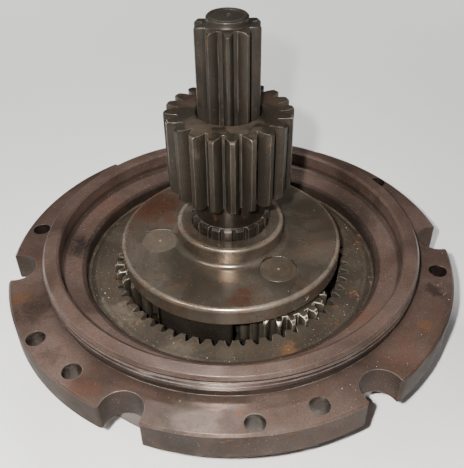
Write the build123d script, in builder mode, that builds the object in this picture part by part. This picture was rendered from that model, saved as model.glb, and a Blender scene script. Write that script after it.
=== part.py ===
from build123d import *
from math import pi, sin, cos, tan, sqrt, acos, radians
import os

os.makedirs("parts", exist_ok=True)

# All sizes in millimetres. Z is the gearbox axis, z = 0 the cover's underside.
Z_FLANGE = 50.0          # top face of the mounting flange

# End cover
R_FLANGE, FLANGE_T, FLANGE_CHAMFER = 140.0, 18.5, 1.3
R_BODY_TOP, R_BODY_BASE = 117.0, 115.0
R_SPIGOT, SPIGOT_H, R_GROOVE = 117.6, 14.6, 116.3
R_SPIGOT_IN, R_RING_SEAT, R_SUMP = 107.6, 92.9, 80.0
Z_LEDGE, Z_LEDGE_IN, Z_RING_TOP, Z_RING_BASE, Z_FLOOR = 51.2, 48.7, 41.7, 20.0, 12.0
NOTCH_R, NOTCH_PCR, NOTCH_MOUTH_R = 11.8, 136.0, 1.8
NOTCH_ANGLES = (3.6, 64.6, 125.0, 186.3, 245.6, 304.2)
BOLT_HOLE_R, BOLT_PCR, BOLT_A0 = 5.5, 130.5, 49.3
EXTRA_PCR, EXTRA_ANGLES = 133.0, (34.5, 94.5, 214.5, 274.5)
PIN_A0 = 68.4            # angle of the first planet pin

# Gear train, module 2.5
MODULE, SUN_N, PLANET_N, RING_N = 2.5, 14, 22, 58
CENTRE = MODULE * (SUN_N + PLANET_N) / 2
PLANET_ANGLES = (PIN_A0, PIN_A0 + 120, PIN_A0 + 240)
RING_TIP, RING_ROOT, RING_OUT = 70.1, 76.0, 92.85
RING_SPACE_ANGLE = 268.4
PLANET_TIP, PLANET_ROOT, PLANET_BORE = 30.0, 24.4, 14.4
Z_PLANET_0, Z_PLANET_1 = 23.1, 48.1
PINION_TIP, PINION_ROOT = 20.0, 14.4
BACKLASH = 0.12

# Dowels under the ring gear and the two oil plugs in the underside
DOWEL_R, DOWEL_PCR, DOWEL_A0 = 3.0, 86.5, 45
PLUG_R, PLUG_HEAD_R, PLUG_SEAL_R, PLUG_RECESS_R = 8.0, 10.5, 12.0, 13.0

# Carrier
R_DISC, Z_DISC_0, Z_DISC_1 = 69.1, 51.7, 63.5
PAD_R, Z_PAD = 20.5, 49.7
R_HUB, Z_HUB = 33.1, 76.0
R_REAR, Z_REAR_0, Z_REAR_1 = 66.0, 14.6, 21.5
PIN_R, PIN_BORE_R = 11.4, 11.42
LOCK_R, Z_LOCK = 2.0, 57.7

# Second-stage sun gear and its spline
OUT_N, OUT_MODULE, OUT_TIP, OUT_ROOT = 20, 3.25, 36.4, 28.9
Z_OUT_0, Z_OUT_1 = 103.6, 150.4
OUT_PHASE, OUT_BORE, OUT_NECK = 272.7, 18.05, 21.5
SPLINE_N, SPLINE_TIP, SPLINE_ROOT = 20, 23.9, 21.7
Z_SPLINE_0, Z_SPLINE_1, SPLINE_PHASE = 53.0, 83.3, 266.0

# Input shaft
DRIVE_N, DRIVE_MODULE, DRIVE_TIP, DRIVE_ROOT = 10, 2.9, 17.9, 12.5
Z_DRIVE = 146.0          # lower end of the drive teeth, inside the sun gear's bore
Z_SHAFT_TOP, Z_BOSS, R_BOSS, R_SHAFT = 198.7, 203.0, 11.1, 11.9


def involute(a):
    return tan(a) - a


def half_angle(n, module, r, thinning, pressure=20):
    """Half the angle a tooth covers at radius r, held constant below the base circle."""
    rp = module * n / 2
    rb = rp * cos(radians(pressure))
    at_r = involute(acos(min(1.0, rb / max(r, rb))))
    return pi / (2 * n) - thinning / (2 * rp) + involute(radians(pressure)) - at_r


def gear_wire(n, module, r_root, r_tip, phase, thinning, pressure=20):
    """Closed outline of a spur gear with its first tooth centred at the given angle."""
    rb = module * n / 2 * cos(radians(pressure))
    r_low = max(r_root, rb + 0.01)
    r_mid = (r_low + r_tip) / 2

    def point(r, a):
        return (r * cos(a), r * sin(a))

    pitch = 2 * pi / n
    low, mid, tip = [half_angle(n, module, r, thinning, pressure) for r in (r_low, r_mid, r_tip)]
    edges = []
    for i in range(n):
        c = radians(phase) + i * pitch
        if r_low > r_root + 0.02:
            edges.append(Line(point(r_root, c - low), point(r_low, c - low)))
        edges.append(ThreePointArc(point(r_low, c - low), point(r_mid, c - mid), point(r_tip, c - tip)))
        edges.append(ThreePointArc(point(r_tip, c - tip), point(r_tip, c), point(r_tip, c + tip)))
        edges.append(ThreePointArc(point(r_tip, c + tip), point(r_mid, c + mid), point(r_low, c + low)))
        if r_low > r_root + 0.02:
            edges.append(Line(point(r_low, c + low), point(r_root, c + low)))
        edges.append(ThreePointArc(point(r_root, c + low), point(r_root, c + pitch / 2),
                                   point(r_root, c + pitch - low)))
    return edges


def at(r, degrees_ccw):
    return (r * cos(radians(degrees_ccw)), r * sin(radians(degrees_ccw)))


PLUG_PLACES = (at(52, 90), at(72, 0))


# Phases: a ring space, a planet tooth and a sun space share each line of centres
def planet_phase(pin_angle):
    step = 360 / RING_N
    delta = (RING_SPACE_ANGLE - pin_angle) % step
    return pin_angle + delta * RING_N / PLANET_N


def pinion_phase(pin_angle):
    step = 360 / PLANET_N
    eps = (planet_phase(pin_angle) - pin_angle - 180) % step
    return pin_angle - eps * PLANET_N / SUN_N + 180 / SUN_N


# ---------------------------------------------------------------- end cover
with BuildPart() as end_cover:
    with BuildSketch(Plane.XZ):
        with BuildLine():
            z = Z_FLANGE
            Polyline((0, 0), (R_BODY_BASE - 3, 0), (R_BODY_BASE, 3), (R_BODY_TOP, z - FLANGE_T),
                     (R_FLANGE - 1.0, z - FLANGE_T), (R_FLANGE, z - FLANGE_T + 1.0),
                     (R_FLANGE, z - FLANGE_CHAMFER), (R_FLANGE - FLANGE_CHAMFER, z),
                     # seal groove at the spigot's foot, two lands, a shallow groove, the top
                     (R_GROOVE, z), (R_GROOVE, z + 5.0), (R_SPIGOT, z + 5.3), (R_SPIGOT, z + 7.7),
                     (R_SPIGOT - 0.5, z + 7.9), (R_SPIGOT - 0.5, z + 8.5), (R_SPIGOT, z + 8.7),
                     (R_SPIGOT, z + 10.5), (R_SPIGOT - 0.8, z + 10.8), (R_SPIGOT - 0.8, z + 12.2),
                     (R_SPIGOT - 0.4, z + 12.6), (R_SPIGOT - 1.7, z + SPIGOT_H),
                     # inner edge, inner wall, sloping ledge, ring gear seat, sump
                     (R_SPIGOT_IN + 1.5, z + SPIGOT_H), (R_SPIGOT_IN, z + SPIGOT_H - 1.3),
                     (R_SPIGOT_IN, Z_LEDGE + 1.6), (R_SPIGOT_IN - 1.4, Z_LEDGE),
                     (R_RING_SEAT + 0.7, Z_LEDGE_IN), (R_RING_SEAT, Z_LEDGE_IN - 0.7),
                     (R_RING_SEAT, Z_RING_BASE), (R_SUMP, Z_RING_BASE),
                     (R_SUMP, Z_FLOOR + 3), (R_SUMP - 3, Z_FLOOR), (0, Z_FLOOR), close=True)
        make_face()
    revolve(axis=Axis.Z)
    with BuildSketch(Plane.XY.offset(Z_FLANGE + 1)):
        with PolarLocations(BOLT_PCR, 6, start_angle=BOLT_A0):
            Circle(BOLT_HOLE_R)
        with Locations(*[at(EXTRA_PCR, a) for a in EXTRA_ANGLES]):
            Circle(BOLT_HOLE_R)
    extrude(amount=-(FLANGE_T + 2), mode=Mode.SUBTRACT)
    # six edge notches whose mouths are rounded into the rim
    with BuildSketch(Plane.XY.offset(Z_FLANGE + 1)) as notches:
        Circle(R_FLANGE + 12)
        Circle(R_FLANGE + 0.02, mode=Mode.SUBTRACT)
        with Locations(*[at(NOTCH_PCR, a) for a in NOTCH_ANGLES]):
            Circle(NOTCH_R)
        mouths = [v for v in notches.vertices() if abs(sqrt(v.X ** 2 + v.Y ** 2) - R_FLANGE - 0.02) < 0.01]
        fillet(mouths, radius=NOTCH_MOUTH_R)
    extrude(amount=-(FLANGE_T + 2), mode=Mode.SUBTRACT)
    # dowel holes under the ring gear, thrust button seat and the two oil plug holes
    with BuildSketch(Plane.XY.offset(Z_RING_BASE)):
        with PolarLocations(DOWEL_PCR, 4, start_angle=DOWEL_A0):
            Circle(DOWEL_R)
    extrude(amount=-7.0, mode=Mode.SUBTRACT)
    with BuildSketch(Plane.XY.offset(Z_FLOOR)):
        Circle(6.0)
    extrude(amount=-6.0, mode=Mode.SUBTRACT)
    with BuildSketch(Plane.XY):
        with Locations(*PLUG_PLACES):
            Circle(PLUG_RECESS_R)
    extrude(amount=2.0, mode=Mode.SUBTRACT)
    with BuildSketch(Plane.XY.offset(1.0)):
        with Locations(*PLUG_PLACES):
            Circle(PLUG_R)
    extrude(amount=12.0, mode=Mode.SUBTRACT)
end_cover.part.label = "end_cover"
export_step(end_cover.part, "parts/end_cover.step")

# ---------------------------------------------------------------- ring gear
with BuildPart() as ring_gear:
    with BuildSketch(Plane.XZ):
        with BuildLine():
            Polyline((RING_TIP - 8, Z_RING_BASE), (RING_OUT - 1, Z_RING_BASE),
                     (RING_OUT, Z_RING_BASE + 1), (RING_OUT, Z_RING_TOP - 1.0),
                     (RING_OUT - 1.0, Z_RING_TOP), (RING_TIP - 8, Z_RING_TOP), close=True)
        make_face()
    revolve(axis=Axis.Z)
    with BuildSketch(Plane.XY.offset(Z_RING_BASE - 1)):
        with BuildLine():
            add(gear_wire(RING_N, MODULE, RING_TIP, RING_ROOT, RING_SPACE_ANGLE, -BACKLASH))
        make_face()
    extrude(amount=40, mode=Mode.SUBTRACT)
    with BuildSketch(Plane.XZ):
        with BuildLine():
            Polyline((0, Z_RING_TOP + 1), (RING_TIP + 2.5, Z_RING_TOP + 1), (RING_TIP - 1, Z_RING_TOP - 2.5),
                     (0, Z_RING_TOP - 2.5), close=True)
        make_face()
    revolve(axis=Axis.Z, mode=Mode.SUBTRACT)
    with BuildSketch(Plane.XY.offset(Z_RING_BASE)):
        with PolarLocations(DOWEL_PCR, 4, start_angle=DOWEL_A0):
            Circle(DOWEL_R)
    extrude(amount=6.0, mode=Mode.SUBTRACT)
ring_gear.part.label = "ring_gear"
export_step(ring_gear.part, "parts/ring_gear.step")

with BuildPart() as ring_gear_pins:
    with BuildSketch(Plane.XY.offset(Z_RING_BASE - 6.9)):
        with PolarLocations(DOWEL_PCR, 4, start_angle=DOWEL_A0):
            Circle(DOWEL_R - 0.02)
    extrude(amount=12.7)
ring_gear_pins.part.label = "ring_gear_pins"
export_step(ring_gear_pins.part, "parts/ring_gear_pins.step")

# ---------------------------------------------------------------- thrust button, oil plugs
with BuildPart() as thrust_button:
    with BuildSketch(Plane.XZ):
        with BuildLine():
            Polyline((0, Z_FLOOR - 5.9), (5.0, Z_FLOOR - 5.9), (5.98, Z_FLOOR - 4.9), (5.98, Z_FLOOR),
                     (12, Z_FLOOR), (12, Z_FLOOR + 4), (11, Z_FLOOR + 5), (0, Z_FLOOR + 5), close=True)
        make_face()
    revolve(axis=Axis.Z)
thrust_button.part.label = "thrust_button"
export_step(thrust_button.part, "parts/thrust_button.step")

with BuildPart() as oil_plugs:
    with BuildSketch(Plane.XY.offset(0.2)):
        with Locations(*PLUG_PLACES):
            Circle(PLUG_HEAD_R)
    extrude(amount=0.75)
    with BuildSketch(Plane.XY.offset(0.9)):
        with Locations(*PLUG_PLACES):
            Circle(PLUG_R - 0.03)
    extrude(amount=11.0)
    with BuildSketch(Plane.XY):
        with Locations(*PLUG_PLACES):
            RegularPolygon(5.0, 6)
    extrude(amount=7.0, mode=Mode.SUBTRACT)
oil_plugs.part.label = "oil_plugs"
export_step(oil_plugs.part, "parts/oil_plugs.step")

with BuildPart() as oil_plug_seals:
    with BuildSketch(Plane.XY.offset(0.95)):
        with Locations(*PLUG_PLACES):
            Circle(PLUG_SEAL_R)
        with Locations(*PLUG_PLACES):
            Circle(PLUG_R + 0.1, mode=Mode.SUBTRACT)
    extrude(amount=1.05)
oil_plug_seals.part.label = "oil_plug_seals"
export_step(oil_plug_seals.part, "parts/oil_plug_seals.step")

# ---------------------------------------------------------------- planet carrier
with BuildPart() as planet_carrier:
    # front disc and hub, turned, with rounded rims and a rounded hub base
    with BuildSketch(Plane.XZ) as turned:
        with BuildLine():
            Polyline((SPLINE_ROOT - 3, Z_DISC_0), (R_DISC, Z_DISC_0), (R_DISC, Z_DISC_1), (R_HUB, Z_DISC_1),
                     (R_HUB, Z_HUB), (SPLINE_ROOT - 3, Z_HUB), close=True)
        make_face()
        for corner, size in (((R_DISC, Z_DISC_0), 0.6), ((R_DISC, Z_DISC_1), 1.9), ((R_HUB, Z_DISC_1), 3.2),
                             ((R_HUB, Z_HUB), 1.5)):
            fillet(turned.vertices().sort_by_distance((*corner, 0))[:1], radius=size)
    revolve(axis=Axis.Z)
    with BuildSketch(Plane.XY.offset(Z_PAD)):
        with PolarLocations(CENTRE, 3, start_angle=PLANET_ANGLES[0]):
            Circle(PAD_R)
        Circle(26.0, mode=Mode.SUBTRACT)
    extrude(amount=Z_DISC_0 - Z_PAD + 1.0)
    # three webs between the planets, joining the rear plate
    with BuildSketch(Plane.XY.offset(Z_REAR_1 - 0.5)):
        Circle(64.0)
        Circle(26.0, mode=Mode.SUBTRACT)
        with PolarLocations(CENTRE, 3, start_angle=PLANET_ANGLES[0]):
            Circle(31.6, mode=Mode.SUBTRACT)
        for a in PLANET_ANGLES:
            with BuildLine():
                Polyline((0, 0), at(150, a - 38), at(150, a), at(150, a + 38), close=True)
            make_face(mode=Mode.SUBTRACT)
    extrude(amount=Z_DISC_0 - Z_REAR_1 + 1.0)
    with BuildSketch(Plane.XZ):
        with BuildLine():
            Polyline((26, Z_REAR_0), (R_REAR - 1.5, Z_REAR_0), (R_REAR, Z_REAR_0 + 1.5),
                     (R_REAR, Z_REAR_1 - 0.8), (R_REAR - 0.8, Z_REAR_1), (26, Z_REAR_1), close=True)
        make_face()
    revolve(axis=Axis.Z)
    # bores for the planet pins and the radial lock pins
    with BuildSketch(Plane.XY.offset(Z_REAR_0 + 1.4)):
        with PolarLocations(CENTRE, 3, start_angle=PLANET_ANGLES[0]):
            Circle(PIN_BORE_R)
    extrude(amount=60, mode=Mode.SUBTRACT)
    for a in PLANET_ANGLES:
        lock_plane = Plane(origin=(*at(40, a), Z_LOCK), x_dir=(0, 0, 1), z_dir=(*at(1, a), 0))
        with BuildSketch(lock_plane):
            Circle(LOCK_R + 0.02)
        extrude(amount=40, mode=Mode.SUBTRACT)
    # internal spline through hub and disc
    with BuildSketch(Plane.XY.offset(Z_DISC_0 - 1)):
        with BuildLine():
            add(gear_wire(SPLINE_N, 2.25, SPLINE_ROOT + 0.05, SPLINE_TIP + 0.1, SPLINE_PHASE, -1.95))
        make_face()
    extrude(amount=30, mode=Mode.SUBTRACT)
    with BuildSketch(Plane.XZ):
        with BuildLine():
            Polyline((0, Z_HUB + 1), (SPLINE_TIP + 1.4, Z_HUB + 1), (SPLINE_TIP - 0.6, Z_HUB - 1), (0, Z_HUB - 1),
                     close=True)
        make_face()
    revolve(axis=Axis.Z, mode=Mode.SUBTRACT)
planet_carrier.part.label = "planet_carrier"
export_step(planet_carrier.part, "parts/planet_carrier.step")

with BuildPart() as carrier_lock_pins:
    for a in PLANET_ANGLES:
        lock_plane = Plane(origin=(*at(40.5, a), Z_LOCK), x_dir=(0, 0, 1), z_dir=(*at(1, a), 0))
        with BuildSketch(lock_plane):
            Circle(LOCK_R)
        extrude(amount=R_DISC - 1.0 - 40.5)
carrier_lock_pins.part.label = "carrier_lock_pins"
export_step(carrier_lock_pins.part, "parts/carrier_lock_pins.step")

# ---------------------------------------------------------------- planets, one set per pin
for i, a in enumerate(PLANET_ANGLES, start=1):
    px, py = at(CENTRE, a)
    with BuildPart() as planet_pin:
        with BuildSketch(Plane(origin=(px, py, 0), x_dir=(1, 0, 0), z_dir=(0, -1, 0))):
            with BuildLine():
                z0, z1 = Z_REAR_0 + 1.45, Z_DISC_1 - 0.1
                Polyline((0, z0), (PIN_R - 1, z0), (PIN_R, z0 + 1), (PIN_R, z1 - 0.4), (PIN_R - 0.4, z1),
                         (1.2, z1), (0, z1 - 0.8), close=True)
            make_face()
        revolve(axis=Axis((px, py, 0), (0, 0, 1)))
        lock_plane = Plane(origin=(*at(40, a), Z_LOCK), x_dir=(0, 0, 1), z_dir=(*at(1, a), 0))
        with BuildSketch(lock_plane):
            Circle(LOCK_R + 0.02)
        extrude(amount=40, mode=Mode.SUBTRACT)
    planet_pin.part.label = "planet_pin_%d" % i
    export_step(planet_pin.part, "parts/planet_pin_%d.step" % i)

    with BuildPart() as planet_gear:
        with BuildSketch(Plane.XY.offset(Z_PLANET_0)):
            with BuildLine():
                add(gear_wire(PLANET_N, MODULE, PLANET_ROOT, PLANET_TIP, planet_phase(a), BACKLASH))
            make_face()
            Circle(PLANET_BORE, mode=Mode.SUBTRACT)
        extrude(amount=Z_PLANET_1 - Z_PLANET_0)
        with BuildSketch(Plane.XZ):
            with BuildLine():
                z0, z1, c = Z_PLANET_0, Z_PLANET_1, 1.6
                Polyline((PLANET_BORE - 2, z0), (PLANET_TIP - c, z0), (PLANET_TIP + 1, z0 + c + 1),
                         (PLANET_TIP + 1, z1 - c - 1), (PLANET_TIP - c, z1), (PLANET_BORE - 2, z1), close=True)
            make_face()
        revolve(axis=Axis.Z, mode=Mode.INTERSECT)
    planet_solid = Pos(px, py, 0) * planet_gear.part
    planet_solid.label = "planet_gear_%d" % i
    export_step(planet_solid, "parts/planet_gear_%d.step" % i)

    with BuildPart() as needles:
        with BuildSketch(Plane.XY.offset(Z_PLANET_0 + 2.4)):
            with Locations((px, py)):
                with PolarLocations(12.9, 16):
                    Circle(1.47)
        extrude(amount=20.4)
    needles.part.label = "planet_needles_%d" % i
    export_step(needles.part, "parts/planet_needles_%d.step" % i)

    with BuildPart() as cage:
        with BuildSketch(Plane.XY.offset(Z_PLANET_0 + 0.6)):
            with Locations((px, py)):
                Circle(13.9)
                Circle(11.9, mode=Mode.SUBTRACT)
        extrude(amount=23.8)
        with BuildSketch(Plane.XY.offset(Z_PLANET_0 + 2.35)):
            with Locations((px, py)):
                with PolarLocations(12.9, 16):
                    Rectangle(4, 3.06)
        extrude(amount=20.5, mode=Mode.SUBTRACT)
    cage.part.label = "needle_cage_%d" % i
    export_step(cage.part, "parts/needle_cage_%d.step" % i)

    with BuildPart() as washers:
        for z0 in (Z_REAR_1 + 0.05, Z_PLANET_1 + 0.05):
            with BuildSketch(Plane.XY.offset(z0)):
                with Locations((px, py)):
                    Circle(20.0)
                    Circle(PIN_R + 0.15, mode=Mode.SUBTRACT)
            extrude(amount=1.45)
    washers.part.label = "planet_washers_%d" % i
    export_step(washers.part, "parts/planet_washers_%d.step" % i)

# ---------------------------------------------------------------- second-stage sun gear
with BuildPart() as sun_gear:
    with BuildSketch(Plane.XY.offset(Z_OUT_0)):
        with BuildLine():
            add(gear_wire(OUT_N, OUT_MODULE, OUT_ROOT, OUT_TIP, OUT_PHASE, -1.4, 25))
        make_face()
    extrude(amount=Z_OUT_1 - Z_OUT_0)
    with BuildSketch(Plane.XZ):
        with BuildLine():
            c = 0.9
            Polyline((0, Z_OUT_0), (OUT_TIP - 2.4, Z_OUT_0), (OUT_TIP + 1, Z_OUT_0 + 2.6),
                     (OUT_TIP + 1, Z_OUT_1 - c - 1), (OUT_TIP - c, Z_OUT_1), (0, Z_OUT_1), close=True)
        make_face()
    revolve(axis=Axis.Z, mode=Mode.INTERSECT)
    with BuildSketch(Plane.XY.offset(Z_SPLINE_0)):
        with BuildLine():
            add(gear_wire(SPLINE_N, 2.25, SPLINE_ROOT, SPLINE_TIP, SPLINE_PHASE, -1.8))
        make_face()
    extrude(amount=Z_SPLINE_1 - Z_SPLINE_0)
    with BuildSketch(Plane.XZ):
        with BuildLine():
            Polyline((SPLINE_TIP - 1.2, Z_SPLINE_1 + 0.001), (SPLINE_TIP + 1, Z_SPLINE_1 + 0.001),
                     (SPLINE_TIP + 1, Z_SPLINE_1 - 2.2), close=True)
        make_face()
    revolve(axis=Axis.Z, mode=Mode.SUBTRACT)
    with BuildSketch(Plane.XZ):
        with BuildLine():
            Polyline((0, Z_SPLINE_1 - 1), (OUT_NECK, Z_SPLINE_1 - 1), (OUT_NECK, Z_OUT_0 - 5),
                     (OUT_NECK + 1.5, Z_OUT_0 - 1.5), (OUT_NECK + 4.5, Z_OUT_0), (OUT_NECK + 4.5, Z_OUT_0 + 1),
                     (0, Z_OUT_0 + 1), close=True)
        make_face()
    revolve(axis=Axis.Z)
    with BuildSketch(Plane.XZ):
        with BuildLine():
            Polyline((0, Z_SPLINE_0 - 1), (OUT_BORE + 2, Z_SPLINE_0 - 1), (OUT_BORE, Z_SPLINE_0 + 1),
                     (OUT_BORE, Z_OUT_1 - 1.2), (OUT_BORE + 2.2, Z_OUT_1 + 1), (0, Z_OUT_1 + 1), close=True)
        make_face()
    revolve(axis=Axis.Z, mode=Mode.SUBTRACT)
sun_gear.part.label = "sun_gear"
export_step(sun_gear.part, "parts/sun_gear.step")

# ---------------------------------------------------------------- input shaft with its pinion
Z_PINION_0, Z_PINION_1, Z_COLLAR = 22.0, 49.5, 51.2
with BuildPart() as input_shaft:
    with BuildSketch(Plane.XY.offset(Z_PINION_0)):
        with BuildLine():
            add(gear_wire(SUN_N, MODULE, PINION_ROOT, PINION_TIP, pinion_phase(PLANET_ANGLES[0]), BACKLASH))
        make_face()
    extrude(amount=Z_PINION_1 - Z_PINION_0)
    with BuildSketch(Plane.XY.offset(Z_DRIVE)):
        with BuildLine():
            add(gear_wire(DRIVE_N, DRIVE_MODULE, DRIVE_ROOT, DRIVE_TIP, 270, -0.75, 25))
        make_face()
    extrude(amount=Z_SHAFT_TOP - Z_DRIVE)
    with BuildSketch(Plane.XZ):
        with BuildLine():
            Polyline((0, Z_PINION_0), (PINION_ROOT + 2, Z_PINION_0), (PINION_TIP + 1, Z_PINION_0 + 3),
                     (PINION_TIP + 1, Z_PINION_1 - 3), (PINION_ROOT + 2, Z_PINION_1), (PINION_ROOT, Z_PINION_1),
                     (PINION_ROOT, Z_DRIVE), (DRIVE_TIP - 1.4, Z_DRIVE), (DRIVE_TIP + 0.4, Z_DRIVE + 2.4),
                     (DRIVE_TIP + 0.5, Z_SHAFT_TOP - 1.8), (DRIVE_TIP - 1.3, Z_SHAFT_TOP), (0, Z_SHAFT_TOP),
                     close=True)
        make_face()
    revolve(axis=Axis.Z, mode=Mode.INTERSECT)
    with BuildSketch(Plane.XZ):
        with BuildLine():
            Polyline((0, 17.1), (7, 17.1), (8, 18.1), (8, Z_PINION_0 + 1), (0, Z_PINION_0 + 1), close=True)
        make_face()
        with BuildLine():
            Polyline((0, Z_PINION_1 - 1), (14.2, Z_PINION_1 - 1), (14.2, Z_COLLAR), (R_SHAFT + 1.2, Z_COLLAR),
                     (R_SHAFT, Z_COLLAR + 1.2), (R_SHAFT, Z_DRIVE + 1), (0, Z_DRIVE + 1), close=True)
        make_face()
        with BuildLine():
            Polyline((0, Z_SHAFT_TOP - 1), (R_BOSS + 1.9, Z_SHAFT_TOP - 1), (R_BOSS + 1.9, Z_SHAFT_TOP),
                     (R_BOSS + 0.5, Z_SHAFT_TOP + 0.5), (R_BOSS, Z_SHAFT_TOP + 1.5), (R_BOSS, Z_BOSS - 0.9),
                     (R_BOSS - 0.9, Z_BOSS), (9.0, Z_BOSS), (8.4, Z_BOSS - 0.5), (2.2, Z_BOSS - 0.5),
                     (0, Z_BOSS - 2.9), close=True)
        make_face()
    revolve(axis=Axis.Z)
input_shaft.part.label = "input_shaft"
export_step(input_shaft.part, "parts/input_shaft.step")

with BuildPart() as sun_thrust_washer:
    with BuildSketch(Plane.XY.offset(Z_COLLAR + 0.05)):
        Circle(20.5)
        Circle(R_SHAFT + 1.25, mode=Mode.SUBTRACT)
    extrude(amount=Z_SPLINE_0 - Z_COLLAR - 0.1)
sun_thrust_washer.part.label = "sun_thrust_washer"
export_step(sun_thrust_washer.part, "parts/sun_thrust_washer.step")
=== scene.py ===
import math
import random

import bmesh
import bpy
from mathutils import Matrix, Vector


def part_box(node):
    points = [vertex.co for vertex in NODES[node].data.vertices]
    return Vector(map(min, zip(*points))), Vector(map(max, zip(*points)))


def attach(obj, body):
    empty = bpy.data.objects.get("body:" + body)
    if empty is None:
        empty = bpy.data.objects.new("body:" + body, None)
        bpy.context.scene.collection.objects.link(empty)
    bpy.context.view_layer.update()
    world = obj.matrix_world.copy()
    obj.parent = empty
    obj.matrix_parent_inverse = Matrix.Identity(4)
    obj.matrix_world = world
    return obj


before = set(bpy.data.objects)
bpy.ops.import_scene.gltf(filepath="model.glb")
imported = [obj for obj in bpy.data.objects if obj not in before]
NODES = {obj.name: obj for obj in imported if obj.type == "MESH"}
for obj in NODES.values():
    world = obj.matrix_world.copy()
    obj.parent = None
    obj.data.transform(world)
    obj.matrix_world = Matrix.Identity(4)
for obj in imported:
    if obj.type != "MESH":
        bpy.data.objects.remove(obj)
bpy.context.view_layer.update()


random.seed(11)

MM = 0.001
THREE = (1, 2, 3)

# Heights of flat faces, in mm, as in the CAD
RING_FACE, FLANGE_FACE, LEDGE_FACE, DISC_FACE, GEAR_FACE = 41.7, 50.0, 50.2, 63.5, 150.4
# Circles of pins, holes and notches: radius in mm and angles in degrees, as in the CAD
PIN_CIRCLE, PIN_ANGLES = 45, [68.4 + 120 * k for k in range(3)]
BOLT_CIRCLE, BOLT_ANGLES = 130.5, [49.3 + 60 * k for k in range(6)]
EXTRA_CIRCLE, EXTRA_ANGLES = 133.0, (34.5, 94.5, 214.5, 274.5)
NOTCH_CIRCLE, NOTCH_ANGLES = 136.0, (3.6, 64.6, 125.0, 186.3, 245.6, 304.2)


# ------------------------------------------------------------------ node helpers
class Shader:
    """A material's node tree with short calls for the nodes used here."""

    def __init__(self, name):
        self.material = bpy.data.materials.new(name)
        self.material.use_nodes = True
        self.tree = self.material.node_tree
        self.tree.nodes.clear()
        self.out = self.tree.nodes.new("ShaderNodeOutputMaterial")
        self.surface = self.tree.nodes.new("ShaderNodeBsdfPrincipled")
        self.join(self.surface.outputs[0], self.out.inputs[0])
        self.coords = self.tree.nodes.new("ShaderNodeTexCoord").outputs["Object"]

    def join(self, a, b):
        self.tree.links.new(a, b)

    def feed(self, value, socket):
        if isinstance(value, bpy.types.NodeSocket):
            self.join(value, socket)
        elif isinstance(value, (int, float)) and socket.type == "RGBA":
            socket.default_value = (value, value, value, 1)
        elif isinstance(value, tuple) and len(value) == 3 and socket.type == "RGBA":
            socket.default_value = (*value, 1)
        else:
            socket.default_value = value

    def maths(self, kind, a, b=0.0):
        node = self.tree.nodes.new("ShaderNodeMath")
        node.operation = kind
        self.feed(a, node.inputs[0])
        self.feed(b, node.inputs[1])
        return node.outputs[0]

    def noise(self, scale, detail=4.0, rough=0.55, distort=0.0, vector=None):
        node = self.tree.nodes.new("ShaderNodeTexNoise")
        self.join(vector or self.coords, node.inputs["Vector"])
        node.inputs["Scale"].default_value = scale
        node.inputs["Detail"].default_value = detail
        node.inputs["Roughness"].default_value = rough
        node.inputs["Distortion"].default_value = distort
        return node.outputs["Fac"]

    def step(self, value, low, high, to_low=0.0, to_high=1.0):
        """value from low..high becomes to_low..to_high, smoothly."""
        node = self.tree.nodes.new("ShaderNodeMapRange")
        node.interpolation_type = "SMOOTHSTEP"
        for i, v in enumerate((value, low, high, to_low, to_high)):
            self.feed(v, node.inputs[i])
        return node.outputs[0]

    def mix(self, factor, a, b, blend="MIX"):
        node = self.tree.nodes.new("ShaderNodeMix")
        node.data_type = "RGBA"
        node.blend_type = blend
        self.feed(factor, node.inputs[0])
        self.feed(a, node.inputs[6])
        self.feed(b, node.inputs[7])
        return node.outputs[2]

    def radius(self, cx=0.0, cy=0.0):
        """Distance from a vertical axis at cx, cy, and the height, in metres."""
        split = self.tree.nodes.new("ShaderNodeSeparateXYZ")
        self.join(self.coords, split.inputs[0])
        x = self.maths("SUBTRACT", split.outputs[0], cx)
        y = self.maths("SUBTRACT", split.outputs[1], cy)
        squares = self.maths("ADD", self.maths("MULTIPLY", x, x), self.maths("MULTIPLY", y, y))
        return self.maths("SQRT", squares), split.outputs[2]

    def patch(self, place, size, ragged):
        """1 in a ragged blob about place, fading to 0 at size metres."""
        node = self.tree.nodes.new("ShaderNodeVectorMath")
        node.operation = "DISTANCE"
        self.join(self.coords, node.inputs[0])
        node.inputs[1].default_value = place
        wobble = self.maths("MULTIPLY", self.maths("SUBTRACT", ragged, 0.5), size * 5.0)
        return self.step(self.maths("ADD", node.outputs["Value"], wobble), size, size * 0.2)

    def edge_mask(self, size):
        """1 on convex and concave edges within size, 0 on open faces."""
        bevel = self.tree.nodes.new("ShaderNodeBevel")
        bevel.samples = 6
        bevel.inputs["Radius"].default_value = size
        geometry = self.tree.nodes.new("ShaderNodeNewGeometry")
        dot = self.tree.nodes.new("ShaderNodeVectorMath")
        dot.operation = "DOT_PRODUCT"
        self.join(bevel.outputs[0], dot.inputs[0])
        self.join(geometry.outputs["Normal"], dot.inputs[1])
        return self.step(dot.outputs["Value"], 0.985, 0.80)

    def hollow(self, reach):
        """1 deep in corners and gaps, 0 in the open."""
        node = self.tree.nodes.new("ShaderNodeAmbientOcclusion")
        node.samples = 8
        node.inputs["Distance"].default_value = reach
        return self.step(node.outputs["AO"], 0.75, 0.15)

    def bump(self, height, strength, distance=0.0002, normal=None):
        node = self.tree.nodes.new("ShaderNodeBump")
        node.inputs["Strength"].default_value = strength
        node.inputs["Distance"].default_value = distance
        self.join(height, node.inputs["Height"])
        if normal is not None:
            self.join(normal, node.inputs["Normal"])
        return node.outputs[0]


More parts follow.
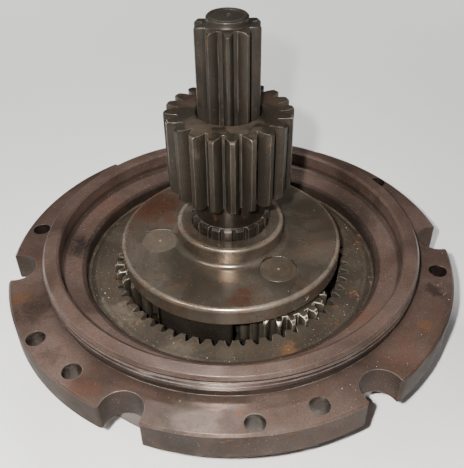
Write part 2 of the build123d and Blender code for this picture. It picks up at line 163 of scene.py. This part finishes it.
def oily_metal(name, light, dark, tint, rough=(0.28, 0.5), metallic=0.35, rust=0.3, turned=0.0, wear=0.6,
               corner_shade=0.85, blotch=16.0, speckle=0.3, edge=0.0007, bright=(0.42, 0.385, 0.35), centre=(0, 0),
               stains_and_glints=(), coat=0.12, zones=(), gloss=0.5, relief=0.25):
    """Oiled, lightly stained machined iron: mottled colour, rust freckles, bright worn edges, painted shade in
    corners.

    stains_and_glints is a list of (place, size, colour, strength) for single marks at known places on the part:
    real stains, and painted glints where the colour is a bright highlight.
    zones is a list of (inner, outer, bottom, top, factor): a ring-shaped part of the surface in mm, made
    darker or lighter by the factor.
    rust, turned, wear, corner_shade (painted shade in corners and gaps) and speckle say how strong each effect
    is, and edge is how far wear reaches in from an edge, in metres. centre is the axis of the turned rings and
    of the zones."""
    s = Shader(name)
    broad = s.noise(blotch, 5, 0.6, 0.6)
    middle = s.noise(blotch * 4.5, 6, 0.65, 0.3)
    ragged = s.noise(120, 8, 0.75, 0.6)
    fine = s.noise(900, 3, 0.6)
    colour = s.mix(s.step(broad, 0.32, 0.68), dark, light)
    colour = s.mix(s.maths("MULTIPLY", s.step(middle, 0.45, 0.70), 0.65), colour, tint)
    colour = s.mix(s.maths("MULTIPLY", s.step(fine, 0.35, 0.7), 0.35), colour, tuple(c * 0.55 for c in dark))
    for where, size, shade, strength in stains_and_glints:
        colour = s.mix(s.maths("MULTIPLY", s.patch(where, size, ragged), strength * 0.75), colour, shade)
    for inner, outer, bottom, top, factor in zones:
        r, z = s.radius(*centre)
        inside = s.maths("MULTIPLY", s.step(r, (inner - 0.2) * MM, (inner + 0.2) * MM),
                         s.step(r, (outer + 0.2) * MM, (outer - 0.2) * MM))
        inside = s.maths("MULTIPLY", inside, s.step(z, (bottom - 0.2) * MM, (bottom + 0.2) * MM))
        inside = s.maths("MULTIPLY", inside, s.step(z, (top + 0.2) * MM, (top - 0.2) * MM))
        colour = s.mix(inside, colour, s.mix(1.0, colour, factor, "MULTIPLY"))
    # rust freckles, gathered in patches
    freckle = s.step(s.noise(230, 4, 0.6, 0.4), 0.60, 0.68)
    patch = s.step(s.noise(24, 3, 0.5, 0.8), 0.50, 0.64)
    rust_mask = s.maths("MULTIPLY", s.maths("MULTIPLY", freckle, patch), rust)
    colour = s.mix(rust_mask, colour, (0.19, 0.075, 0.03))
    # painted shade: corners and gaps darkened by the occlusion mask
    corner = s.maths("MULTIPLY", s.hollow(0.011), corner_shade)
    colour = s.mix(corner, colour, (0.014, 0.011, 0.008))
    # worn edges
    worn = s.maths("MULTIPLY", s.edge_mask(edge), s.step(s.noise(75, 4, 0.6), 0.36, 0.6))
    worn = s.maths("MULTIPLY", worn, wear)
    colour = s.mix(worn, colour, bright)
    # fine bright grit caught in the oil
    grit = s.maths("MULTIPLY", s.step(s.noise(1300, 2, 0.5), 0.70, 0.74), speckle)
    colour = s.mix(grit, colour, (0.60, 0.53, 0.45))
    s.join(colour, s.surface.inputs["Base Color"])
    s.surface.inputs["Metallic"].default_value = metallic
    film = s.noise(30, 6, 0.6, 1.2)
    roughness = s.step(film, 0.3, 0.7, rough[0], rough[1])
    roughness = s.maths("ADD", roughness, s.maths("MULTIPLY", corner, 0.25))
    roughness = s.maths("ADD", roughness, s.maths("MULTIPLY", rust_mask, 0.3))
    s.join(roughness, s.surface.inputs["Roughness"])
    s.surface.inputs["Specular IOR Level"].default_value = gloss
    s.surface.inputs["Coat Weight"].default_value = coat
    s.surface.inputs["Coat Roughness"].default_value = 0.25
    rounding = s.tree.nodes.new("ShaderNodeBevel")
    rounding.samples = 6
    rounding.inputs["Radius"].default_value = 0.0004
    height = s.maths("ADD", s.maths("MULTIPLY", middle, 0.6), s.maths("MULTIPLY", fine, 0.35))
    normal = s.bump(height, relief, 0.0003, rounding.outputs[0])
    if turned:
        r, z = s.radius(*centre)
        line = s.tree.nodes.new("ShaderNodeCombineXYZ")
        s.join(r, line.inputs[0])
        s.join(z, line.inputs[1])
        rings = s.noise(1500, 4, 0.7, 0.0, line.outputs[0])
        normal = s.bump(rings, turned, 0.00012, normal)
    s.join(normal, s.surface.inputs["Normal"])
    return s.material


EDGE_ANGLE = math.radians(28)  # a sharper turn than this is an edge


def dress(names, material, bevel=0.25, edge_material=None):
    """Give CAD nodes a material, and a fine bevel with smooth shading so that their edges catch light."""
    for name in names:
        node = NODES[name]
        node.data.materials.clear()
        node.data.materials.append(material)
        if edge_material:
            node.data.materials.append(edge_material)
        for face in node.data.polygons:
            face.use_smooth = True
        weld = node.modifiers.new("weld", "WELD")
        weld.merge_threshold = 0.00001
        if bevel:
            edge = node.modifiers.new("bevel", "BEVEL")
            edge.width = bevel * MM
            edge.segments = 2
            edge.limit_method = "ANGLE"
            edge.angle_limit = EDGE_ANGLE
            if edge_material:
                edge.material = 1
            # where two bevels meet they leave doubled points, which are joined again
            seam = node.modifiers.new("seam", "WELD")
            seam.merge_threshold = 0.000004
            flat = node.modifiers.new("flat_faces", "WEIGHTED_NORMAL")
            flat.weight = 85
        else:
            split = node.modifiers.new("split", "EDGE_SPLIT")
            split.split_angle = EDGE_ANGLE


def at(radius_mm, degrees, z_mm):
    """A point in the frame from its distance and angle about the gearbox axis."""
    angle = math.radians(degrees)
    return (radius_mm * MM * math.cos(angle), radius_mm * MM * math.sin(angle), z_mm * MM)


def marks(height_mm, *rows):
    """Stains, and painted glints, on the face at height_mm. Each row is radius, angle, size in metres, colour
    and strength.
    """
    return [(at(r, degrees, height_mm), size, colour, strength) for r, degrees, size, colour, strength in rows]


RED, ORANGE, OIL, PALE = (0.16, 0.055, 0.028), (0.30, 0.12, 0.03), (0.022, 0.016, 0.012), (0.30, 0.26, 0.20)
SOOT, RUSTY, GLINT = (0.06, 0.05, 0.032), (0.070, 0.045, 0.033), (0.95, 0.88, 0.72)

cover_iron = oily_metal(
    "cover_iron", (0.170, 0.116, 0.096), (0.062, 0.041, 0.032), (0.126, 0.070, 0.051),
    rough=(0.28, 0.48), metallic=0.5, rust=0.8, turned=0.10, speckle=0.7,
    # the two zones are painted shade on the recess's upright walls, from the ring face up to the ledge and from
    # the ledge up to the spigot top
    zones=[(90.0, 95.5, 41, 52, 0.45), (105.5, 108.6, 50.5, 56, 0.6)],
    stains_and_glints=marks(FLANGE_FACE,
                 (126, 205, 0.013, OIL, 0.6), (131, 222, 0.008, OIL, 0.4), (133, 235, 0.012, RED, 0.35),
                 (130, 315, 0.016, RED, 0.35), (134, 198, 0.007, ORANGE, 0.35),
                 (133, 214, 0.005, ORANGE, 0.35), (130, 328, 0.006, ORANGE, 0.35),
                 (98, 178, 0.011, OIL, 1.1), (128, 341, 0.007, OIL, 0.9), (98, 150, 0.016, RED, 0.35),
                 (99, 320, 0.016, RED, 0.4), (128, 262, 0.018, PALE, 0.15), (98, 20, 0.020, OIL, 0.5)))
ring_steel = oily_metal(
    "ring_steel", (0.060, 0.047, 0.031), (0.030, 0.022, 0.015), (0.052, 0.033, 0.019),
    rough=(0.58, 0.74), coat=0.04, rust=0.8, turned=0.08, speckle=0.9, blotch=40, metallic=0.2, relief=0.6,
    zones=[(88.0, 93.0, 41, 42.5, 0.55), (84.5, 86.0, 41, 42.5, 0.8)],
    stains_and_glints=marks(RING_FACE, (86, 292, 0.007, ORANGE, 0.35), (85, 215, 0.014, PALE, 0.2),
                 (86, 250, 0.016, PALE, 0.15), (86, 330, 0.016, OIL, 0.6)))
carrier_steel = oily_metal(
    "carrier_steel", (0.245, 0.202, 0.164), (0.098, 0.082, 0.062), (0.19, 0.115, 0.078),
    rough=(0.18, 0.36), metallic=0.75, rust=0.35, turned=0.22, wear=1.0, speckle=0.4,
    # the first three zones are painted highlights on the disc's rim, the hub's base and the hub's rim; the last
    # is painted shade on the carrier below the disc
    zones=[(66.9, 69.4, 61.0, 63.7, 2.2), (33.0, 37.0, 63.3, 67.0, 1.25), (30.5, 33.4, 74.2, 76.2, 2.2),
           (20.0, 66.5, 20.0, 50.8, 0.4)],
    stains_and_glints=marks(DISC_FACE, (57, 150, 0.024, RED, 0.85), (60, 276, 0.009, RED, 0.8),
                 (55, 345, 0.020, ORANGE, 0.22), (50, 20, 0.022, SOOT, 0.6), (60, 305, 0.012, SOOT, 0.5)))
DARK_STEEL = dict(rough=(0.28, 0.44), metallic=0.2, rust=0.25, wear=0.4, gloss=0.22, speckle=0.2, coat=0.0,
                  relief=0.4)
gear_steel = oily_metal(
    "gear_steel", (0.030, 0.025, 0.018), (0.009, 0.0075, 0.0055), (0.030, 0.019, 0.012),
    stains_and_glints=marks(GEAR_FACE, (22, 285, 0.014, (0.080, 0.062, 0.045), 0.9),
                 (24, 235, 0.014, (0.075, 0.055, 0.040), 0.8), (25, 150, 0.014, RUSTY, 0.7),
                 (27, 20, 0.014, RUSTY, 0.6)), **DARK_STEEL)
planet_steel = oily_metal(
    "planet_steel", (0.19, 0.165, 0.13), (0.09, 0.075, 0.055), (0.15, 0.11, 0.07), rough=(0.22, 0.38),
    metallic=0.7, rust=0.2, wear=1.0, speckle=0.2, bright=(0.65, 0.60, 0.50), edge=0.0007)
shaft_steel = oily_metal("shaft_steel", (0.033, 0.028, 0.022), (0.011, 0.009, 0.007), (0.033, 0.022, 0.015),
                         **DARK_STEEL)
PIN_LOOK = dict(light=(0.19, 0.155, 0.118), dark=(0.085, 0.070, 0.050), tint=(0.15, 0.098, 0.066),
                rough=(0.30, 0.44), metallic=0.55, rust=0.3, wear=0.7, blotch=30)
lock_steel = oily_metal("lock_steel", **PIN_LOOK)
# each pin's end has turned rings about the pin's own axis
pin_steels = [oily_metal("pin_steel_%d" % i, turned=0.9, centre=at(PIN_CIRCLE, angle, 0)[:2],
                         zones=[(-1.0, 0.9, 60, 65, 2.2), (3.6, 4.2, 60, 65, 0.85), (7.6, 8.3, 60, 65, 0.8),
                                (10.6, 12.0, 60, 65, 0.85)], **PIN_LOOK)
              for i, angle in zip(THREE, PIN_ANGLES)]
bearing_steel = oily_metal("bearing_steel", (0.42, 0.40, 0.37), (0.30, 0.28, 0.25), (0.36, 0.32, 0.26),
                           rough=(0.16, 0.28), metallic=0.9, rust=0.0, wear=0.4, speckle=0.0)
thrust_steel = oily_metal("thrust_steel", (0.34, 0.31, 0.27), (0.22, 0.2, 0.17), (0.28, 0.23, 0.17),
                          rough=(0.22, 0.36), metallic=0.85, rust=0.1, wear=0.5, speckle=0.1)
plug_steel = oily_metal("plug_steel", (0.33, 0.30, 0.25), (0.19, 0.17, 0.13), (0.27, 0.21, 0.13),
                        rough=(0.28, 0.44), metallic=0.8, rust=0.5, wear=0.9)
seal_copper = oily_metal("seal_copper", (0.46, 0.22, 0.11), (0.26, 0.12, 0.06), (0.36, 0.19, 0.10),
                         rough=(0.26, 0.4), metallic=0.9, rust=0.0, wear=0.5)

cover_rim = oily_metal("cover_rim", (0.050, 0.034, 0.026), (0.019, 0.013, 0.010), (0.052, 0.028, 0.018),
                       rough=(0.50, 0.70), metallic=0.0, rust=0.4, wear=0.5, speckle=0.3, coat=0.0, gloss=0.18)
land_steel = oily_metal("land_steel", (0.30, 0.285, 0.29), (0.16, 0.14, 0.14), (0.22, 0.17, 0.16),
                        rough=(0.16, 0.24), metallic=0.9, rust=0.2, turned=0.15, wear=0.8, corner_shade=0.7, blotch=30,
                        speckle=0.2, relief=0.10)
worn_steel_and_glints = oily_metal("worn_steel_and_glints", (0.21, 0.185, 0.145), (0.030, 0.025, 0.018), (0.075, 0.058, 0.040),
                        rough=(0.22, 0.38), metallic=0.7, rust=0.1, wear=0.3, corner_shade=0.6, blotch=70, speckle=0.1,
                        # the two GLINT marks are painted highlights on the sun gear's top tooth corners
                        stains_and_glints=marks(150, (35.5, 196, 0.006, GLINT, 1.3), (35.5, 344, 0.006, GLINT, 1.3)))
planet_edges = oily_metal("planet_edges", (0.62, 0.56, 0.44), (0.08, 0.066, 0.045), (0.20, 0.16, 0.11),
                          rough=(0.20, 0.34), metallic=0.5, rust=0.0, wear=0.3, corner_shade=0.3, blotch=60,
                          # the zone is painted shade: edge bevels below 45.5 mm, down in the ring, made darker
                          speckle=0.0, zones=[(-1.0, 90.0, 0.0, 45.5, 0.25)],
                          # the two bright marks are painted glints on the front teeth's top edges
                          stains_and_glints=marks(47, (68, 305, 0.017, (0.95, 0.86, 0.68), 1.3),
                                       (68, 197, 0.007, (0.95, 0.86, 0.68), 1.3)))
hole_steel = oily_metal("hole_steel", (0.20, 0.155, 0.135), (0.10, 0.075, 0.065), (0.15, 0.10, 0.085),
                        rough=(0.20, 0.28), metallic=0.9, rust=0.0, wear=0.5, corner_shade=0.8, blotch=40,
                        speckle=0.0, relief=0.02, turned=2.5)

dress(["end_cover"], cover_iron, 0.35)
HOLE, RIM, LAND = 1, 2, 3  # the end cover's extra material slots, in the order below
for extra in (hole_steel, cover_rim, land_steel):
    NODES["end_cover"].data.materials.append(extra)
dress(["ring_gear"], ring_steel, 0.25)
dress(["planet_carrier"], carrier_steel, 0.3)
dress(["sun_gear"], gear_steel, 0.4, worn_steel_and_glints)
dress(["planet_gear_%d" % i for i in THREE], planet_steel, 0.35, planet_edges)
dress(["input_shaft"], shaft_steel, 0.3, worn_steel_and_glints)
for i in THREE:
    dress(["planet_pin_%d" % i], pin_steels[i - 1], 0.15)
dress(["carrier_lock_pins", "ring_gear_pins"], lock_steel, 0)
dress(["planet_needles_%d" % i for i in THREE] + ["needle_cage_%d" % i for i in THREE], bearing_steel, 0)
dress(["planet_washers_%d" % i for i in THREE] + ["sun_thrust_washer", "thrust_button"], thrust_steel, 0)
dress(["oil_plugs"], plug_steel, 0)
dress(["oil_plug_seals"], seal_copper, 0)


# ------------------------------------------------------------------ metal chips and sludge in the oil
def chip_material():
    s = Shader("bright_chips")
    tone = s.noise(700, 2, 0.5)
    s.join(s.mix(s.step(tone, 0.4, 0.6), (0.62, 0.50, 0.34), (0.86, 0.84, 0.80)), s.surface.inputs["Base Color"])
    s.surface.inputs["Metallic"].default_value = 0.35
    s.join(s.step(tone, 0.3, 0.7, 0.25, 0.5), s.surface.inputs["Roughness"])
    return s.material


def add_piece(name, mesh, material, body, smooth=False):
    data = bpy.data.meshes.new(name)
    mesh.to_mesh(data)
    mesh.free()
    data.materials.append(material)
    if smooth:
        for face in data.polygons:
            face.use_smooth = True
    piece = bpy.data.objects.new(name, data)
    bpy.context.scene.collection.objects.link(piece)
    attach(piece, body)
    return piece


def chips(name, count, zone, z, sizes, material, body, avoid=()):
    """Small curled cuttings lying flat on a ring-shaped face.

    zone is (inner, outer, first angle, last angle), sizes is (smallest, largest), and avoid is a list of
    (x, y, radius) in metres to keep clear of."""
    mesh = bmesh.new()
    for _ in range(count):
        r = random.uniform(zone[0], zone[1]) * MM
        a = math.radians(random.uniform(zone[2], zone[3]))
        x, y = r * math.cos(a), r * math.sin(a)
        size = sizes[0] * (sizes[1] / sizes[0]) ** (random.random() ** 2.2) * MM
        if any(math.hypot(x - ax, y - ay) < clear for ax, ay, clear in avoid):
            continue
        chip = bmesh.ops.create_icosphere(mesh, subdivisions=1, radius=size * 0.5)
        stretch = random.uniform(0.45, 1.0)
        turn = Matrix.Rotation(random.uniform(0, math.pi), 4, "Z")
        turn = turn @ Matrix.Rotation(random.uniform(-0.3, 0.3), 4, "X")
        for v in chip["verts"]:
            v.co.x += 1.2 * v.co.y * v.co.y / size
            v.co = Vector((v.co.x, v.co.y * stretch, v.co.z * 0.34)) * random.uniform(0.8, 1.15)
            v.co = turn @ v.co + Vector((x, y, z * MM + size * 0.10))
    return add_piece(name, mesh, material, body)


def sludge(name, r_mm, z_mm, width, tall, material, body, lumps=260, points=6):
    """A bead of dried oil and grit in the corner at radius r_mm: a ring whose section swells and thins."""
    mesh = bmesh.new()
    rows = []
    swell = [random.uniform(0.6, 1.0) for _ in range(lumps)]
    for i in range(lumps):
        a = 2 * math.pi * i / lumps
        fat = (swell[i - 1] + 2 * swell[i] + swell[(i + 1) % lumps]) / 4
        row = []
        for k in range(points):
            b = math.pi * k / (points - 1)
            w = width * fat * math.cos(b) * random.uniform(0.85, 1.15)
            h = tall * fat * math.sin(b) * random.uniform(0.8, 1.2)
            r = (r_mm + w) * MM
            row.append(mesh.verts.new((r * math.cos(a), r * math.sin(a), (z_mm + h) * MM)))
        rows.append(row)
    for i in range(lumps):
        one, two = rows[i], rows[(i + 1) % lumps]
        for k in range(points - 1):
            mesh.faces.new((one[k], two[k], two[k + 1], one[k + 1]))
        mesh.faces.new((one[-1], two[-1], two[0], one[0]))
    bmesh.ops.recalc_face_normals(mesh, faces=mesh.faces)
    return add_piece(name, mesh, material, body, smooth=True)


chip_steel = chip_material()
dirt = oily_metal("sludge", (0.060, 0.045, 0.028), (0.022, 0.016, 0.011), (0.10, 0.07, 0.04), rough=(0.30, 0.6),
                  metallic=0.0, rust=0.4, wear=0.0, speckle=1.0, blotch=60)
low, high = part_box("ring_gear")
ring_top = high.z / MM
ring_edge = high.x / MM
bolt_holes = [at(BOLT_CIRCLE, angle, 0)[:2] for angle in BOLT_ANGLES]
bolt_holes += [at(EXTRA_CIRCLE, angle, 0)[:2] for angle in EXTRA_ANGLES]
notches = [at(NOTCH_CIRCLE, angle, 0)[:2] for angle in NOTCH_ANGLES]
pin_ends = [at(PIN_CIRCLE, angle, 0)[:2] for angle in PIN_ANGLES]

# The end cover's upright faces: hole walls, then the flange's rim and notches, then the spigot's lands
HOLE_WALL = 0.006
RIM_INNER, RIM_BOTTOM = 0.1215, 0.031
LAND_INNER, LAND_GROOVE, LAND_BOTTOM = 0.1159, 0.11735, 0.0505
for face in NODES["end_cover"].data.polygons:
    x, y, z = face.center
    r = math.hypot(x, y)
    if abs(face.normal.z) > 0.3:
        continue
    if any(math.hypot(x - hx, y - hy) < HOLE_WALL for hx, hy in bolt_holes):
        face.material_index = HOLE
    elif r > RIM_INNER and z > RIM_BOTTOM:
        face.material_index = RIM
    elif r > LAND_INNER and z > LAND_BOTTOM:
        # groove floors between the lands take the dark rim material, which paints shade into the grooves
        face.material_index = LAND if r > LAND_GROOVE else RIM

clear_of_flange = [(x, y, 0.0068) for x, y in bolt_holes] + [(x, y, 0.0135) for x, y in notches]
clear_of_pins = [(x, y, 0.012) for x, y in pin_ends]
for name, count, zone, z, sizes, body, slot_name, avoid in (
        ("ring_face_chips", 42, (78, 92, 0, 360), ring_top, (0.2, 1.2), "casing", "ring_steel", ()),
        ("ring_front_chips", 24, (78, 92, 235, 345), ring_top, (0.25, 1.6), "casing", "ring_steel", ()),
        ("ledge_chips", 40, (95, 104, 0, 360), LEDGE_FACE, (0.2, 0.8), "casing", "cover_iron", ()),
        ("flange_chips", 70, (119.5, 138, 0, 360), FLANGE_FACE, (0.2, 0.75), "casing", "cover_iron",
         clear_of_flange),
        ("flange_right_chips", 40, (119.5, 138, 290, 350), FLANGE_FACE, (0.2, 0.75), "casing", "cover_iron",
         clear_of_flange),
        ("disc_chips", 30, (38, 66, 0, 360), DISC_FACE, (0.2, 0.7), "carrier", "carrier_steel",
         clear_of_pins)):
    chips(name, count, zone, z, sizes, chip_steel, body, avoid)
sludge("ring_edge_sludge", ring_edge - 1.2, ring_top - 0.7, 2.0, 1.3, dirt, "casing")


# ------------------------------------------------------------------ floor, light, camera
def floor_material():
    s = Shader("pale_floor")
    tone = s.noise(7, 3, 0.5)
    s.join(s.mix(tone, (0.86, 0.86, 0.845), (0.91, 0.91, 0.895)), s.surface.inputs["Base Color"])
    s.surface.inputs["Roughness"].default_value = 0.9
    return s.material


floor_mesh = bmesh.new()
bmesh.ops.create_grid(floor_mesh, x_segments=2, y_segments=2, size=6.0)
floor_data = bpy.data.meshes.new("floor")
floor_mesh.to_mesh(floor_data)
floor = bpy.data.objects.new("floor", floor_data)
floor.data.materials.append(floor_material())
bpy.context.scene.collection.objects.link(floor)


def area_light(name, place, target, size, power, colour=(1, 1, 1)):
    data = bpy.data.lights.new(name, "AREA")
    data.shape = "DISK"
    data.size = size
    data.energy = power
    data.color = colour
    light = bpy.data.objects.new(name, data)
    bpy.context.scene.collection.objects.link(light)
    light.location = place
    light.rotation_euler = (Vector(target) - Vector(place)).to_track_quat("-Z", "Y").to_euler()
    return light


# The flash stands left of the camera and does most of the work. Key and sheen add soft highlights, and
# the others, which leave no reflection, light the floor and the sides away from the camera.
TARGET = (0, 0, 0.07)
area_light("flash", (-0.034, -0.321, 0.340), TARGET, 0.014, 4.3, (1.0, 0.985, 0.95))
area_light("key", (-0.34, -0.22, 0.52), (0, 0, 0.05), 0.16, 0.8, (1.0, 0.985, 0.96))
area_light("sheen", (-0.04, 0.20, 0.52), (0, -0.12, 0.05), 0.10, 0.55, (1.0, 0.97, 0.95))
floor_light = area_light("floor_light", (-0.45, 1.25, 0.90), (-0.25, 0.75, 0.0), 0.50, 15.0)
back_fill = area_light("back_fill", (0.50, 0.75, 0.42), (0, 0, 0.09), 0.45, 2.0)
left_fill = area_light("left_fill", (-0.85, 0.35, 0.40), (0, 0, 0.09), 0.45, 2.5)
for unseen in (floor_light, back_fill, left_fill):
    unseen.visible_glossy = False

world = bpy.data.worlds.new("studio")
world.use_nodes = True
world.node_tree.nodes["Background"].inputs[0].default_value = (0.95, 0.97, 1.0, 1)
world.node_tree.nodes["Background"].inputs[1].default_value = 0.055
bpy.context.scene.world = world

# The camera: distance and elevation about the flange's centre, then small turns off that line
DISTANCE, ELEVATION = 0.412329, 0.693228
YAW, PITCH, ROLL = -0.002108, -0.023879, -0.015463
camera_data = bpy.data.cameras.new("camera")
camera_data.sensor_width = 36.0
camera_data.lens = 48.74
camera_data.clip_start = 0.01
camera = bpy.data.objects.new("camera", camera_data)
bpy.context.scene.collection.objects.link(camera)
back = Vector((0, -math.cos(ELEVATION), math.sin(ELEVATION)))
place = back * DISTANCE + Vector((0, 0, FLANGE_FACE * MM))
right = Vector((1, 0, 0))
up = back.cross(right)
rows = Matrix((right, -up, -back))
turn_x = Matrix(((1, 0, 0), (0, math.cos(PITCH), -math.sin(PITCH)), (0, math.sin(PITCH), math.cos(PITCH))))
turn_y = Matrix(((math.cos(YAW), 0, math.sin(YAW)), (0, 1, 0), (-math.sin(YAW), 0, math.cos(YAW))))
turn_z = Matrix(((math.cos(ROLL), -math.sin(ROLL), 0), (math.sin(ROLL), math.cos(ROLL), 0), (0, 0, 1)))
across, down, ahead = (turn_z @ turn_x @ turn_y @ rows)
camera.matrix_world = Matrix.Translation(place) @ Matrix((across, -down, -ahead)).transposed().to_4x4()
bpy.context.scene.camera = camera
